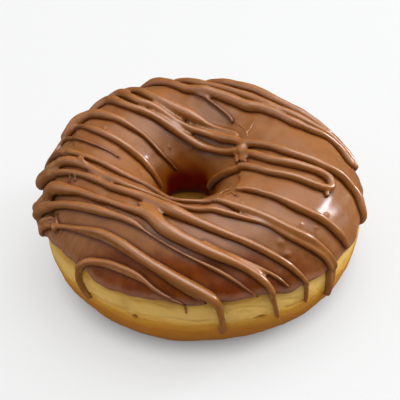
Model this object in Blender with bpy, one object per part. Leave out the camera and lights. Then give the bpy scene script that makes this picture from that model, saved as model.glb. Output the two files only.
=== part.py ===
"""Ring doughnut with a chocolate glaze and a chocolate drizzle, standing on z = 0, in metres.

Two pieces: "dough", the fried yeast ring, and "icing", the glaze that coats its top and the
wall of its hole, with every strand of the drizzle fused to it.

A place on the ring is given by two angles in degrees. The turn is the direction seen from the
middle of the hole: 0 is +X, 90 is +Y, the far side. The tilt goes round the ring's section:
0 is the crest, 90 the widest level outside, -90 the neck of the hole, 180 the underside.
"""

import math

import bmesh
import bpy
import numpy as np
from mathutils import Vector

MM = 0.001

# The ring, in millimetres.
OUTER_RADIUS = 44.9
NECK_RADIUS = 7.2
HEIGHT = 36.9
WIDEST_LEVEL = 17.1
HOLE_MIDDLE = (-3.5, 0.6)  # the hole is off the centre of the outline
ROUND_MIDDLE = (1.2, 1.1)  # puts the middle of the whole object over the origin
BELLY_POWER = 0.82  # under 1 makes the lower half squarer than an ellipse
FLAT_SINK = 0.3  # how far the round underside is flattened by its own weight
OUTLINE_WAVES = ((2, -1.65, 29), (3, 0.4, -17))  # waves a turn, height, turn of the peak

# The glaze, in millimetres.
COAT_SINK = 1.0  # the dough lies this much lower under the glaze
COAT_GAP = 0.3  # between dough and glaze
COAT = 1.0
LIP = 0.45  # thickness at the rim
HOLE_EDGE = -92  # tilt where the glaze ends in the hole
# Tilt where the glaze ends outside, at these turns.
GLAZE_EDGE = (
    (0, 81), (28, 78), (60, 79), (95, 76), (128, 79), (160, 77), (180, 81), (195, 84), (205, 75),
    (226, 74), (240, 78), (254, 74), (270, 78.5), (290, 78), (303, 82.5), (330, 83.5), (344, 80),
)

# The drizzle. Each strand runs through (turn, tilt) places and has widths in millimetres,
# spread evenly along those places.
STRAND_FOOT = 0.45  # how far the flat foot of a strand lies above the dough
STRAND_RISE = (0.35, 0.72)  # height over the glaze: this much, and this share of the width
STRAND_SIDES = 6
STRANDS = {
    "back_thick": (
        ((112, 88), (101, 40), (88, 9), (70, 0), (43, -2), (16, 11), (4, 38), (-1, 64)),
        (1.8, 2.8, 2.4, 3.2, 3.2, 2.7, 2.6, 2.2),
    ),
    "back_second": (
        ((97, 62), (84, 27), (66, 13), (48, 11), (30, 14), (16, 28), (11, 48), (7, 62), (2, 73)),
        (1.8, 2.1, 2.0, 2.3, 2.3, 2.3, 2.3, 2.5, 1.6),
    ),
    "back_edge": (
        ((84, 62), (72, 38), (62, 30), (50, 27), (38, 26), (25, 34), (17, 50), (13, 70)),
        (2.0, 2.6, 2.4, 2.0),
    ),
    "thread": (((99, 20), (80, -7), (54, -20), (15, -24)), (0.9, 1.0, 0.8, 1.0)),
    "blunt": (
        ((129, 86), (121, 38), (108, 5), (92, -20), (68, -30), (36, -31)),
        (1.8, 2.5, 2.8, 3.8, 2.8, 0.8),
    ),
    "long_middle": (
        ((137, 82), (128, 32), (117, -1), (99, -28), (69, -40), (36, -38), (6, -25), (-10, 0),
         (-14, 25), (-15, 50), (-18, 84)),
        (1.8, 2.4, 1.9, 1.8, 2.1, 2.1, 2.1, 2.2, 2.4, 2.7, 2.0),
    ),
    "inner_back": (
        ((139, 80), (131, 36), (120, -10), (101, -36), (73, -48), (40, -49), (12, -40), (2, -31)),
        (1.8, 2.4, 2.3, 2.7, 2.5, 2.0, 1.8, 2.2),
    ),
    "hairpin": (
        ((6, -36), (-10, -24), (-19, -9), (-20, 12), (-19, 30), (-20, 38), (-24, 39), (-27, 29),
         (-29, 12), (-31, -8), (-28, -25), (-24, -42), (-8, -58)),
        (2.2, 2.2, 2.4, 2.5, 2.4, 2.3, 2.3, 2.2, 2.1, 2.0, 2.1, 2.3, 1.9),
    ),
    "right_short": (
        ((306, -17), (314, 11), (318, 31), (322, 49), (325, 67), (326, 81)),
        (1.3, 1.6, 2.3, 2.5, 2.5, 1.6),
    ),
    "hole_front": (
        ((160, 76), (160, 60), (165, 40), (177, 13), (194, -11), (216, -24), (240, -26), (262, -14),
         (284, -8), (299, 12), (308, 37), (315, 59), (318, 84), (315, 106)),
        (1.4, 1.7, 1.9, 1.6, 1.6, 1.3, 1.3, 1.0, 1.5, 2.3, 2.5, 2.0, 1.5, 1.8),
    ),
    "front_upper": (
        ((168, 84), (167, 69), (168, 52), (178, 23), (197, 1), (221, -12), (246, -15), (268, -3),
         (286, 6), (299, 23), (306, 45), (314, 70), (315, 103)),
        (3.0, 4.0, 3.0, 2.6, 2.1, 1.4, 1.1, 1.3, 1.8, 1.4, 1.5, 1.8, 1.6),
    ),
    "front_middle": (
        ((171, 85), (170, 70), (176, 50), (190, 20), (212, 2), (240, -6), (261, 3), (277, 16),
         (291, 34), (301, 57), (306, 80), (306, 98)),
        (2.4, 3.2, 2.8, 2.0, 1.7, 2.4, 3.4, 2.5, 2.0, 1.8, 1.4, 0.8),
    ),
    "front_broad": (
        ((179, 94), (179, 80), (185, 55), (202, 26), (226, 11), (247, 10), (260, 21), (273, 33),
         (286, 49), (293, 67), (295, 88), (296, 100)),
        (2.6, 3.7, 3.0, 2.0, 1.6, 2.7, 3.9, 3.3, 2.5, 2.0, 1.3, 1.1),
    ),
    "broad_root": (((240, 1), (250, 6), (259, 16)), (1.1, 2.2, 2.7)),
    "broad_branch": (((275, 28), (287, 45), (296, 63), (300, 76)), (0.9, 1.0, 1.0, 0.8)),
    "front_thin": (
        ((187, 96), (184, 84), (189, 67), (202, 43), (220, 26), (240, 20), (254, 27), (270, 41),
         (281, 55), (290, 76)),
        (2.0, 3.3, 2.7, 2.3, 2.5, 1.9, 0.8, 0.9, 1.1, 0.7),
    ),
    "front_long": (
        ((194, 84), (198, 70), (211, 53), (228, 39), (242, 39), (257, 49), (268, 60), (276, 72),
         (278, 90), (278, 104)),
        (1.6, 1.6, 1.4, 2.2, 2.8, 3.1, 3.3, 2.9, 1.6, 2.0),
    ),
    "left_loop": (
        ((228, 98), (225, 76), (229, 62), (240, 57), (251, 59), (260, 68), (267, 81)),
        (0.7, 1.2, 1.7, 1.7, 1.6, 1.3, 0.6),
    ),
    "left_stub": (((199, 57), (193, 68), (190, 77)), (1.2, 1.7, 1.2)),
    "left_arch": (
        ((144, 60), (140, 45), (139, 30), (139, 16), (139, -5), (135, -31), (123, -54), (104, -69)),
        (2.4, 4.2, 3.0, 2.5, 1.9, 1.2, 0.9, 0.6),
    ),
    "left_to_hole": (
        ((149, 63), (149, 50), (151, 30), (155, 5), (162, -27), (166, -51), (170, -73)),
        (1.5, 1.9, 2.0, 1.9, 2.3, 2.0, 1.4),
    ),
    "left_low": (((155, 68), (155, 54), (157, 38), (165, 10), (176, -18)), (1.3, 1.5, 1.2, 0.9, 0.6)),
    "bead": (((333, 38), (332.5, 42)), (1.5, 1.5)),
    "knot": (((9, -29), (3, -31), (-3, -33)), (2.2, 2.9, 2.2)),
    "bridge": (((358, -39), (350, -36), (341, -33)), (1.0, 0.9, 1.0)),
    "bridge_outer": (((355, -32), (347, -31), (339, -29)), (1.3, 1.0, 1.2)),
    "hole_lip": (((306, -15), (300, -12), (294, -9)), (1.0, 1.5, 1.0)),
}

TURNS = 64  # columns of faces round the ring
# Rows of faces. Those under the glaze are shared by the dough and the glaze's underside.
HOLE_TILTS = (-168, -152, -135, -118, -104)
GLAZED_TILTS = (-92, -78, -60, -40, -20, 0, 18, 36, 52)
BARE_TILTS = (92, 103, 115, 128, 141, 155, 168)
COAT_TOP_TILTS = (-84, -66, -46, -26, -8, 10, 27, 43, 57)


def smooth_step(low, high, x):
    t = np.clip((x - low) / (high - low), 0, 1)
    return t * t * (3 - 2 * t)


def spline(points, per_span):
    """Catmull-Rom curve through the points, with per_span steps between neighbours."""
    points = np.asarray(points, float)
    if points.ndim == 1:
        points = points[:, None]
    padded = np.vstack([2 * points[0] - points[1], points, 2 * points[-1] - points[-2]])
    t = np.linspace(0, 1, per_span, endpoint=False)[:, None]
    spans = []
    for a, b, c, d in zip(padded, padded[1:], padded[2:], padded[3:]):
        spans.append(
            0.5 * (2 * b + (c - a) * t + (2 * a - 5 * b + 4 * c - d) * t**2
                   + (3 * b - a - 3 * c + d) * t**3)
        )
    return np.vstack(spans + [points[-1:]])


def outline_radius(turn):
    """Distance from the middle of the hole to the outer edge."""
    x, y = -HOLE_MIDDLE[0], -HOLE_MIDDLE[1]
    c, s = np.cos(np.radians(turn)), np.sin(np.radians(turn))
    radius = x * c + y * s + np.sqrt(OUTER_RADIUS**2 - (x * s - y * c) ** 2)
    for waves, height, peak in OUTLINE_WAVES:
        radius = radius + height * np.cos(np.radians(waves * (turn - peak)))
    return radius


def section_point(turn, tilt):
    """(distance from the hole's middle, level) of the plain ring's skin."""
    outer = outline_radius(turn)
    middle, half = (outer + NECK_RADIUS) / 2, (outer - NECK_RADIUS) / 2
    c, s = np.cos(np.radians(tilt)), np.sin(np.radians(tilt))
    power = np.where(c >= 0, 1.0, BELLY_POWER)
    rise = np.where(c >= 0, HEIGHT - WIDEST_LEVEL, WIDEST_LEVEL + FLAT_SINK)
    across = middle + np.sign(s) * np.abs(s) ** power * half
    level = WIDEST_LEVEL + np.sign(c) * np.abs(c) ** power * rise
    return across, level


def glaze_edge(turn):
    """Tilt of the glaze's outer rim, which waves round the ring."""
    turns = np.array([place[0] for place in GLAZE_EDGE] + [GLAZE_EDGE[0][0] + 360], float)
    tilts = np.array([place[1] for place in GLAZE_EDGE] + [GLAZE_EDGE[0][1]], float)
    at = np.mod(turn, 360)
    i = np.clip(np.searchsorted(turns, at, side="right") - 1, 0, len(turns) - 2)
    t = smooth_step(0, 1, (at - turns[i]) / (turns[i + 1] - turns[i]))
    return tilts[i] * (1 - t) + tilts[i + 1] * t


def dough_sink(turn, tilt):
    """How far the dough's skin lies under the plain ring, where the glaze covers it."""
    outside = 1 - smooth_step(glaze_edge(turn) - 26, glaze_edge(turn) - 2, tilt)
    inside = smooth_step(HOLE_EDGE - 12, HOLE_EDGE + 2, tilt)
    return COAT_SINK * outside * inside


def swell(turn, tilt):
    """Gentle unevenness of the dough, in millimetres."""
    a, b = np.radians(turn), np.radians(tilt)
    bumps = 0.22 * np.sin(3 * a + 1.3) * np.cos(2 * b) + 0.16 * np.sin(7 * a + 2.1 * np.sin(b))
    return bumps + 0.12 * np.sin(5 * a - 3 * b)


def on_ring(turn, tilt, above=0.0):
    """World places, in millimetres, this far above the dough's skin."""
    turn, tilt = np.asarray(turn, float), np.asarray(tilt, float)
    step = 0.5
    r1, z1 = section_point(turn, tilt - step)
    r2, z2 = section_point(turn, tilt + step)
    length = np.hypot(r2 - r1, z2 - z1)
    out_r, out_z = -(z2 - z1) / length, (r2 - r1) / length
    r, z = section_point(turn, tilt)
    off = above - dough_sink(turn, tilt) + swell(turn, tilt)
    r, z = r + out_r * off, z + out_z * off
    z = np.maximum(z, 0.0)
    a = np.radians(turn)
    x = HOLE_MIDDLE[0] + ROUND_MIDDLE[0] + r * np.cos(a)
    y = HOLE_MIDDLE[1] + ROUND_MIDDLE[1] + r * np.sin(a)
    return np.stack([x, y, z], -1)


def ring_mesh(name, rows):
    """Closed skin from rows of places, each row once round the ring and the last joined to the
    first."""
    mesh = bmesh.new()
    grid = [[mesh.verts.new(Vector(place) * MM) for place in row] for row in rows]
    for row, following in zip(grid, grid[1:] + grid[:1]):
        for i in range(len(row)):
            j = (i + 1) % len(row)
            mesh.faces.new((row[i], following[i], following[j], row[j]))
    bmesh.ops.recalc_face_normals(mesh, faces=mesh.faces)
    data = bpy.data.meshes.new(name)
    mesh.to_mesh(data)
    mesh.free()
    return data


def add_object(name, data, collection):
    obj = bpy.data.objects.new(name, data)
    collection.objects.link(obj)
    return obj


def finish_object(obj, colour, roughness):
    """The piece's own material, and round shading."""
    material = bpy.data.materials.new(obj.name)
    material.use_nodes = True
    shader = material.node_tree.nodes["Principled BSDF"]
    shader.inputs["Base Color"].default_value = (*colour, 1)
    shader.inputs["Roughness"].default_value = roughness
    shader.inputs["Metallic"].default_value = 0
    obj.data.materials.clear()
    obj.data.materials.append(material)
    obj.data.shade_smooth()
    obj.data.set_sharp_from_angle(angle=math.radians(50))


def tilt_rows(turns, tilts):
    return [np.full(len(turns), float(tilt)) for tilt in tilts]


def glazed_rows(turns):
    """Tilts of the rows from the glaze's edge in the hole to its outer edge."""
    edge = glaze_edge(turns)
    return tilt_rows(turns, GLAZED_TILTS) + [edge - 13, edge - 1]


def make_dough(collection):
    turns = np.arange(TURNS) * 360 / TURNS
    tilts = tilt_rows(turns, HOLE_TILTS) + glazed_rows(turns) + tilt_rows(turns, BARE_TILTS)
    rows = [on_ring(turns, tilt) for tilt in tilts]
    for row in (rows[0], rows[-1]):
        row[:, 2] = 0.0
    return add_object("dough", ring_mesh("dough", rows), collection)


def make_coat(collection):
    """The glaze without its drizzle: an open shell that ends in a lip outside and in the hole."""
    turns = np.arange(TURNS) * 360 / TURNS
    edge = glaze_edge(turns)
    in_hole = tilt_rows(turns, (HOLE_EDGE,))[0]
    rows = [on_ring(turns, in_hole, COAT_GAP + LIP)]
    rows += [on_ring(turns, tilt, COAT_GAP + COAT) for tilt in tilt_rows(turns, COAT_TOP_TILTS)]
    rows.append(on_ring(turns, edge - 9, COAT_GAP + COAT))
    rows.append(on_ring(turns, edge - 3, COAT_GAP + 0.9 * COAT))
    rows.append(on_ring(turns, edge, COAT_GAP + LIP))
    rows += [on_ring(turns, tilt, COAT_GAP) for tilt in reversed(glazed_rows(turns))]
    return add_object("icing", ring_mesh("icing", rows), collection)


def strand_path(places, widths):
    """Places and widths along a strand, closer together where it bends."""
    per_span = 24
    fine = spline(places, per_span)
    along = np.linspace(0, len(widths) - 1, len(fine))
    width_curve = spline(widths, per_span)[:, 0]
    width = np.interp(along, np.linspace(0, len(widths) - 1, len(width_curve)), width_curve)
    feet = on_ring(fine[:, 0], fine[:, 1], STRAND_FOOT)
    keep, last_way, travelled = [0], None, 0.0
    for i in range(1, len(fine) - 1):
        way = feet[i + 1] - feet[i - 1]
        way = way / np.linalg.norm(way)
        travelled += np.linalg.norm(feet[i] - feet[i - 1])
        last_way = way if last_way is None else last_way
        turned = math.degrees(math.acos(np.clip(np.dot(way, last_way), -1, 1)))
        if travelled > 5.0 or (turned > 20 and travelled > 1.0):
            keep.append(i)
            last_way, travelled = way, 0.0
    if travelled < 1.2 and len(keep) > 2:
        keep.pop()
    keep.append(len(fine) - 1)
    return fine, width, keep


def strand_mesh(name, places, widths):
    """A half-round strand that lies on the glaze, with rounded ends."""
    fine, width, keep = strand_path(places, widths)
    feet = on_ring(fine[:, 0], fine[:, 1], STRAND_FOOT)
    above = on_ring(fine[:, 0], fine[:, 1], STRAND_FOOT + 1.0)
    buried = COAT_GAP + COAT - STRAND_FOOT
    mesh = bmesh.new()
    rings = []
    for i in keep:
        way = feet[min(i + 1, len(feet) - 1)] - feet[max(i - 1, 0)]
        way /= np.linalg.norm(way)
        up = above[i] - feet[i]
        up -= way * np.dot(up, way)
        up /= np.linalg.norm(up)
        side = np.cross(up, way)
        end = i in (keep[0], keep[-1])
        half = width[i] / 2 * (0.55 if end else 1.0)
        high = buried + (STRAND_RISE[0] + STRAND_RISE[1] * width[i]) * (0.45 if end else 1.0)
        angles = np.linspace(0, math.pi, STRAND_SIDES)
        ring = [
            feet[i] + side * half * math.cos(t) + up * high * math.sin(t) ** 0.85 for t in angles
        ]
        rings.append([mesh.verts.new(Vector(place) * MM) for place in ring])
    for first, second in zip(rings, rings[1:]):
        for i in range(STRAND_SIDES):
            j = (i + 1) % STRAND_SIDES
            mesh.faces.new((first[i], first[j], second[j], second[i]))
    mesh.faces.new(rings[0])
    mesh.faces.new(rings[-1][::-1])
    bmesh.ops.recalc_face_normals(mesh, faces=mesh.faces)
    data = bpy.data.meshes.new(name)
    mesh.to_mesh(data)
    mesh.free()
    return data


def fuse(obj, collection):
    """Joins every object of the collection to obj and removes them."""
    union = obj.modifiers.new("fuse", "BOOLEAN")
    union.operation = "UNION"
    union.operand_type = "COLLECTION"
    union.collection = collection
    union.solver = "EXACT"
    bpy.context.view_layer.update()
    evaluated = obj.evaluated_get(bpy.context.evaluated_depsgraph_get())
    joined = bpy.data.meshes.new_from_object(evaluated)
    obj.modifiers.clear()
    obj.data = joined
    for strand in list(collection.objects):
        bpy.data.objects.remove(strand)
    bpy.data.collections.remove(collection)


def main():
    for obj in list(bpy.data.objects):
        bpy.data.objects.remove(obj)
    scene = bpy.context.scene.collection
    dough = make_dough(scene)
    icing = make_coat(scene)
    drizzle = bpy.data.collections.new("drizzle")
    scene.children.link(drizzle)
    for name, (places, widths) in STRANDS.items():
        add_object(name, strand_mesh(name, places, widths), drizzle)
    fuse(icing, drizzle)
    finish_object(dough, (0.56, 0.36, 0.13), 0.6)
    finish_object(icing, (0.25, 0.12, 0.055), 0.32)


main()
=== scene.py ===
# %% [markdown]
# # A ring doughnut with chocolate glaze and drizzle
#
# The object is a fried yeast ring, about 9 cm across. Its upper half and the wall of its hole are
# coated with milk chocolate glaze, and warm chocolate has been drizzled over that in strands.
#
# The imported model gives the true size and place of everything. The looks are built here as three
# closed meshes: dough, glaze and drizzle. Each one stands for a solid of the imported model.

import math

import bmesh
import bpy
import numpy as np
from mathutils import Matrix, Vector
from mathutils.bvhtree import BVHTree


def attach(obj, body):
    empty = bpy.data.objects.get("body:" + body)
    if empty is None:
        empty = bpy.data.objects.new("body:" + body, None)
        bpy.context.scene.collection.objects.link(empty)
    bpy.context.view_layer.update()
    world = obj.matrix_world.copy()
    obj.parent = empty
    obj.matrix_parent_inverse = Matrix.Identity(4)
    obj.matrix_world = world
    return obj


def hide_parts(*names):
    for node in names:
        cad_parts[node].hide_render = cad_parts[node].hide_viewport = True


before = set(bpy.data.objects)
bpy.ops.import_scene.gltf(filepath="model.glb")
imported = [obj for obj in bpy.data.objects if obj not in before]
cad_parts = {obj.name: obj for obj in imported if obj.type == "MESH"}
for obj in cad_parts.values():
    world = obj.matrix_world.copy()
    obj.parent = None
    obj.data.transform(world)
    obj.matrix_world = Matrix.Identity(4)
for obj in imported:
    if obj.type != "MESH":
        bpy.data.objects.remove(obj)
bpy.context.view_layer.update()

# %% [markdown]
# ## Places on a ring
#
# A point on a doughnut is easiest to name by two angles. The turn is the direction seen from the
# middle of the hole (0 is +X, 90 is the far side). The tilt goes round the section (0 is the
# crest, 90 the widest level outside, -90 the neck of the hole, 180 the underside). With these
# two, a strand of chocolate is a short list of places, and it always lies on the surface.
#
# A torus primitive would be too even. Here the outline is a circle with two slow waves, the hole
# lies off its middle, and the section is half an ellipse over a fuller belly.

# %% The ring's sizes, in millimetres
MM = 0.001  # Blender counts in metres
OUTER_RADIUS = 44.9
NECK_RADIUS = 7.2
HEIGHT = 36.9
WIDEST_LEVEL = 17.1
ROUND_MIDDLE = (1.2, 1.1)  # middle of the outline
HOLE_MIDDLE = (-3.5, 0.6)  # of the hole, from the outline's middle
BELLY_POWER = 0.82  # under 1, the lower half is fuller than an ellipse
FLAT_SINK = 0.3  # what would lie lower than the ground is cut flat
OUTLINE_WAVES = ((2, -1.65, 29), (3, 0.4, -17))  # waves in a turn, height, its turn


# %% Outline and section
def outline_radius(turn):
    """Distance from the middle of the hole to the outline."""
    x, y = -HOLE_MIDDLE[0], -HOLE_MIDDLE[1]
    c, s = np.cos(np.radians(turn)), np.sin(np.radians(turn))
    radius = x * c + y * s + np.sqrt(OUTER_RADIUS**2 - (x * s - y * c) ** 2)
    for waves, height, crest in OUTLINE_WAVES:
        radius = radius + height * np.cos(np.radians(waves * (turn - crest)))
    return radius


def section_point(turn, tilt):
    """Distance from the middle of the hole, and level, on the plain ring."""
    outer = outline_radius(turn)
    middle, half = (outer + NECK_RADIUS) / 2, (outer - NECK_RADIUS) / 2
    c, s = np.cos(np.radians(tilt)), np.sin(np.radians(tilt))
    power = np.where(c >= 0, 1.0, BELLY_POWER)
    rise = np.where(c >= 0, HEIGHT - WIDEST_LEVEL, WIDEST_LEVEL + FLAT_SINK)
    across = middle + np.sign(s) * np.abs(s) ** power * half
    level = WIDEST_LEVEL + np.sign(c) * np.abs(c) ** power * rise
    return across, level


print("ring about", round(float(outline_radius(0) + outline_radius(180)), 1), "mm wide")

# %% [markdown]
# ## What the plain ring carries
#
# The glaze ends at an uneven line on the outside. The dough lies a little lower under it, as in
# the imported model, where a gap stands for their contact. The wall of the hole falls away at the
# front and right, and the whole ring swells and sinks a little, as proved dough does. All that
# could be sculpted, but each is a height over turn and tilt here, so they can be added up.

# %% Edge of the glaze
COAT = 1.3  # surface of the glaze over the dough below it
COAT_SINK = 1.0  # the dough lies this much lower there
HOLE_EDGE = -92  # tilt where the glaze ends inside the hole
SINK_OUTSIDE = (26, 2)  # the sinking fades from this far to this far before the outer edge
SINK_INSIDE = (12, 2)  # and from this far past the inner edge to this far before it
GLAZE_EDGE = (  # turn, tilt
    (0, 81), (28, 78), (60, 79), (95, 76), (128, 79), (160, 77), (180, 81), (195, 84), (205, 75),
    (226, 74), (235, 79), (243, 79), (254, 76.3), (262, 77), (269, 78), (280, 76), (291, 77),
    (303, 82.5), (330, 83.5), (344, 80),
)


def smooth_step(low, high, x):
    """0 under low, 1 over high, smooth between."""
    t = np.clip((np.asarray(x, float) - low) / (high - low), 0, 1)
    return t * t * (3 - 2 * t)


def glaze_edge(turn):
    """Tilt of the glaze's outer edge."""
    turns = np.array([place[0] for place in GLAZE_EDGE] + [GLAZE_EDGE[0][0] + 360], float)
    tilts = np.array([place[1] for place in GLAZE_EDGE] + [GLAZE_EDGE[0][1]], float)
    at = np.mod(turn, 360)
    i = np.clip(np.searchsorted(turns, at, side="right") - 1, 0, len(turns) - 2)
    t = smooth_step(0, 1, (at - turns[i]) / (turns[i + 1] - turns[i]))
    return tilts[i] * (1 - t) + tilts[i + 1] * t


def dough_sink(turn, tilt):
    """How far the dough lies lower here, because glaze covers it."""
    edge = glaze_edge(turn)
    outside = 1 - smooth_step(edge - SINK_OUTSIDE[0], edge - SINK_OUTSIDE[1], tilt)
    inside = smooth_step(HOLE_EDGE - SINK_INSIDE[0], HOLE_EDGE + SINK_INSIDE[1], tilt)
    return COAT_SINK * outside * inside


edge_tilts = [tilt for turn, tilt in GLAZE_EDGE]
print("glaze ends between tilts", min(edge_tilts), "and", max(edge_tilts))

# %% The hollow wall of the hole
# It falls away inside this line, at the front and right: turn, tilt.
HOLLOW_EDGE = (
    (215, -38), (227, -34), (246, -25), (258, -17), (265, -12), (272, -8), (280, -3), (286, -5.5),
    (295, -10.5), (300, -12.5), (307, -16), (314, -21.5), (323, -27.5), (337, -32.5), (355, -37),
)
HOLLOW_DEPTH = (  # turn, millimetres
    (210, 0), (225, 0.6), (245, 2.0), (280, 2.2), (300, 1.6), (330, 0.9), (358, 0),
)
HOLLOW_SLOPE = 24  # degrees of tilt from the line to the full depth
HOLLOW_ENDS = (-130, -90)  # tilts below the neck between which it closes again


def along(places, turn):
    """Value at this turn, from (turn, value) places in rising order."""
    places = np.asarray(places, float)
    return np.interp(np.mod(turn, 360), places[:, 0], places[:, 1])


def hollow(turn, tilt):
    """Depth of the hollow."""
    edge = along(HOLLOW_EDGE, turn)
    slope = smooth_step(0, HOLLOW_SLOPE, edge - tilt)
    return along(HOLLOW_DEPTH, turn) * slope * smooth_step(*HOLLOW_ENDS, tilt)


print("hollow up to", max(place[1] for place in HOLLOW_DEPTH), "mm deep")


# %% From turn and tilt to a place
def swell(turn, tilt):
    """Slow unevenness of the whole ring, a fraction of a millimetre, with the hollow."""
    a, b = np.radians(turn), np.radians(tilt)
    bumps = 0.22 * np.sin(3 * a + 1.3) * np.cos(2 * b) + 0.16 * np.sin(7 * a + 2.1 * np.sin(b))
    return bumps + 0.12 * np.sin(5 * a - 3 * b) - hollow(turn, tilt)


def on_ring(turn, tilt, above=0.0):
    """Places in millimetres, this far above the dough's skin."""
    turn, tilt = np.asarray(turn, float), np.asarray(tilt, float)
    r1, z1 = section_point(turn, tilt - 0.5)
    r2, z2 = section_point(turn, tilt + 0.5)
    length = np.hypot(r2 - r1, z2 - z1)
    out_r, out_z = -(z2 - z1) / length, (r2 - r1) / length
    r, z = section_point(turn, tilt)
    off = above - dough_sink(turn, tilt) + swell(turn, tilt)
    r, z = r + out_r * off, np.maximum(z + out_z * off, 0.0)
    a = np.radians(turn)
    x = HOLE_MIDDLE[0] + ROUND_MIDDLE[0] + r * np.cos(a)
    y = HOLE_MIDDLE[1] + ROUND_MIDDLE[1] + r * np.sin(a)
    return np.stack([x, y, z], -1)


print("crest at the front:", on_ring(270, 0, COAT).round(1), "mm")

# %% [markdown]
# ## Camera
#
# A long lens from 39 degrees above the table, tipped a little, as the photograph was taken. The
# lens is 135 mm on a 36 mm sensor, so the ring shows almost no perspective. The camera could be
# turned by hand, but a matrix of its right, up and back directions gives the exact angle.

# %% Camera
ELEVATION, ROLL, DISTANCE = math.radians(39.453), math.radians(-4.715), 0.4249
FOCAL_LENGTH, SENSOR_WIDTH = 135, 36
AIM_LEVEL = 0.0165  # metres over the ground
PHOTO_WIDTH = 400
SHIFT = (-0.607, 8.11)  # in pixels of the photograph
aim = Vector((ROUND_MIDDLE[0] * MM, ROUND_MIDDLE[1] * MM, AIM_LEVEL))
back = Vector((0, -math.cos(ELEVATION), math.sin(ELEVATION)))
level_right = Vector((1, 0, 0))
level_up = back.cross(level_right)
up = level_up * math.cos(ROLL) - level_right * math.sin(ROLL)
right = up.cross(back)
lens = bpy.data.cameras.new("photo_view")
lens.lens, lens.sensor_width, lens.clip_start = FOCAL_LENGTH, SENSOR_WIDTH, 0.01
lens.shift_x, lens.shift_y = SHIFT[0] / PHOTO_WIDTH, SHIFT[1] / PHOTO_WIDTH
camera = bpy.data.objects.new("photo_view", lens)
placed = Matrix((right, up, back)).transposed().to_4x4()
placed.translation = aim + back * DISTANCE
camera.matrix_world = placed
bpy.context.scene.collection.objects.link(camera)
bpy.context.scene.camera = camera
print("camera stands", [round(v, 3) for v in placed.translation])


# %% [markdown]
# ## From rows of points to a closed skin
#
# The dough and the glaze are both tubes bent into a ring, so one helper is enough: it takes rows
# of places, each row once round the ring, and joins every row to the next and the last row to
# the first. No modifier is needed, and the number of faces is known beforehand. Numbers that a
# finish will need, such as the tilt, are stored at the points as named attributes.

# %% Mesh helpers
def mark(piece, name, values):
    """Stores a number at every point of the mesh, for its finish to read."""
    layer = piece.data.attributes.new(name, "FLOAT", "POINT")
    layer.data.foreach_set("value", np.asarray(values, np.float32).reshape(-1))


def ring_object(name, rows, masks):
    """A closed ring from rows of places in millimetres, with its masks."""
    rows = np.asarray(rows)
    count, around = rows.shape[0], rows.shape[1]
    index = np.arange(count * around).reshape(count, around)
    following, beside = np.roll(index, -1, 0), np.roll(index, -1, 1)
    corners = np.stack([index, beside, np.roll(following, -1, 1), following], -1).reshape(-1, 4)
    data = bpy.data.meshes.new(name)
    data.from_pydata((rows.reshape(-1, 3) * MM).tolist(), [], corners.tolist())
    skin = bmesh.new()
    skin.from_mesh(data)
    bmesh.ops.recalc_face_normals(skin, faces=skin.faces)
    skin.to_mesh(data)
    skin.free()
    data.shade_smooth()
    piece = bpy.data.objects.new(name, data)
    bpy.context.scene.collection.objects.link(piece)
    for mask, values in masks.items():
        mark(piece, mask, values)
    print(name, "has", 2 * len(corners), "triangles")
    return piece


# %% [markdown]
# ## The dough
#
# A doughnut floats in the fat and is fried on one side at a time, so its side keeps a pale band
# that the fat hardly touched. The skin there is drawn into fine level creases, with a few pits
# where bubbles broke. A bump map would show them only by shading, so all of it is in the mesh:
# rows are close together where the dough shows and far apart under the glaze.

# %% Rows, creases and pits
TURN_COUNT = 600
turns = np.arange(TURN_COUNT) * 360 / TURN_COUNT
dough_tilts = np.concatenate([
    np.linspace(-176, -84, 36), np.linspace(-78, 64, 18), np.linspace(67, 150, 92),
    np.linspace(153, 176, 10),
])
# Pits: turn, tilt, reach across, reach up, depth, in degrees and millimetres.
PITS = ((248.6, 96, 1.3, 2.3, 0.7), (290.5, 94.5, 2.2, 1.4, 0.6), (327, 112, 0.7, 1.5, 0.3))
# Creases: (turn, tilt) places, height in degrees, depth in millimetres.
CREASES = (
    (((222, 96), (225.5, 95), (233.5, 93.5), (242.5, 92.5), (250, 91)), 1.6, 0.30),
    (((244, 84), (246.5, 83), (251, 80), (255, 79.5), (260, 82), (266, 86.5)), 1.2, 0.45),
    (((256, 91), (258.5, 91), (263, 91), (266.5, 92), (271, 93.5), (277, 91)), 1.2, 0.45),
    (((277, 90.5), (278.5, 89), (280.5, 85.5), (283.5, 83.5), (289, 85), (296, 91)), 1.3, 0.40),
    (((295, 84), (296.5, 85), (300.5, 88.5), (304, 91), (309, 90)), 1.3, 0.35),
    (((295, 91), (297, 91.5), (300.5, 94), (304, 95.5), (310, 94)), 1.3, 0.35),
    (((312, 92), (325, 96), (340, 93)), 1.3, 0.25),
    (((205, 95), (214, 92), (224, 90)), 1.3, 0.25),
    (((20, 92), (45, 95), (72, 92)), 1.4, 0.3),
    (((90, 95), (120, 92), (150, 96)), 1.4, 0.3),
    (((140, 90), (165, 94), (192, 92)), 1.3, 0.3),
)
CREASE_END = 4  # degrees of turn over which a crease fades
PALE_BAND = (90, 16)  # tilt of its middle, and its reach
print(len(dough_tilts), "rows of", TURN_COUNT, "points")


# %% Hills, spots and ripples
RIPPLE_COUNT = 14  # waves that are added up
RIPPLE_SUM = 3.2  # their sum is divided by this, which leaves it mostly between -1 and 1


def bump(x, middle, reach):
    """A smooth hill: 1 at the middle, 0 beyond the reach."""
    return 1 - smooth_step(0, 1, np.abs(np.asarray(x, float) - middle) / reach)


def from_spot(turn, tilt, spot):
    """Distance from an oval spot's middle, 1 at its rim."""
    at_turn, at_tilt, across, high = spot[:4]
    return np.hypot((turn - at_turn) / across, (tilt - at_tilt) / high)


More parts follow.
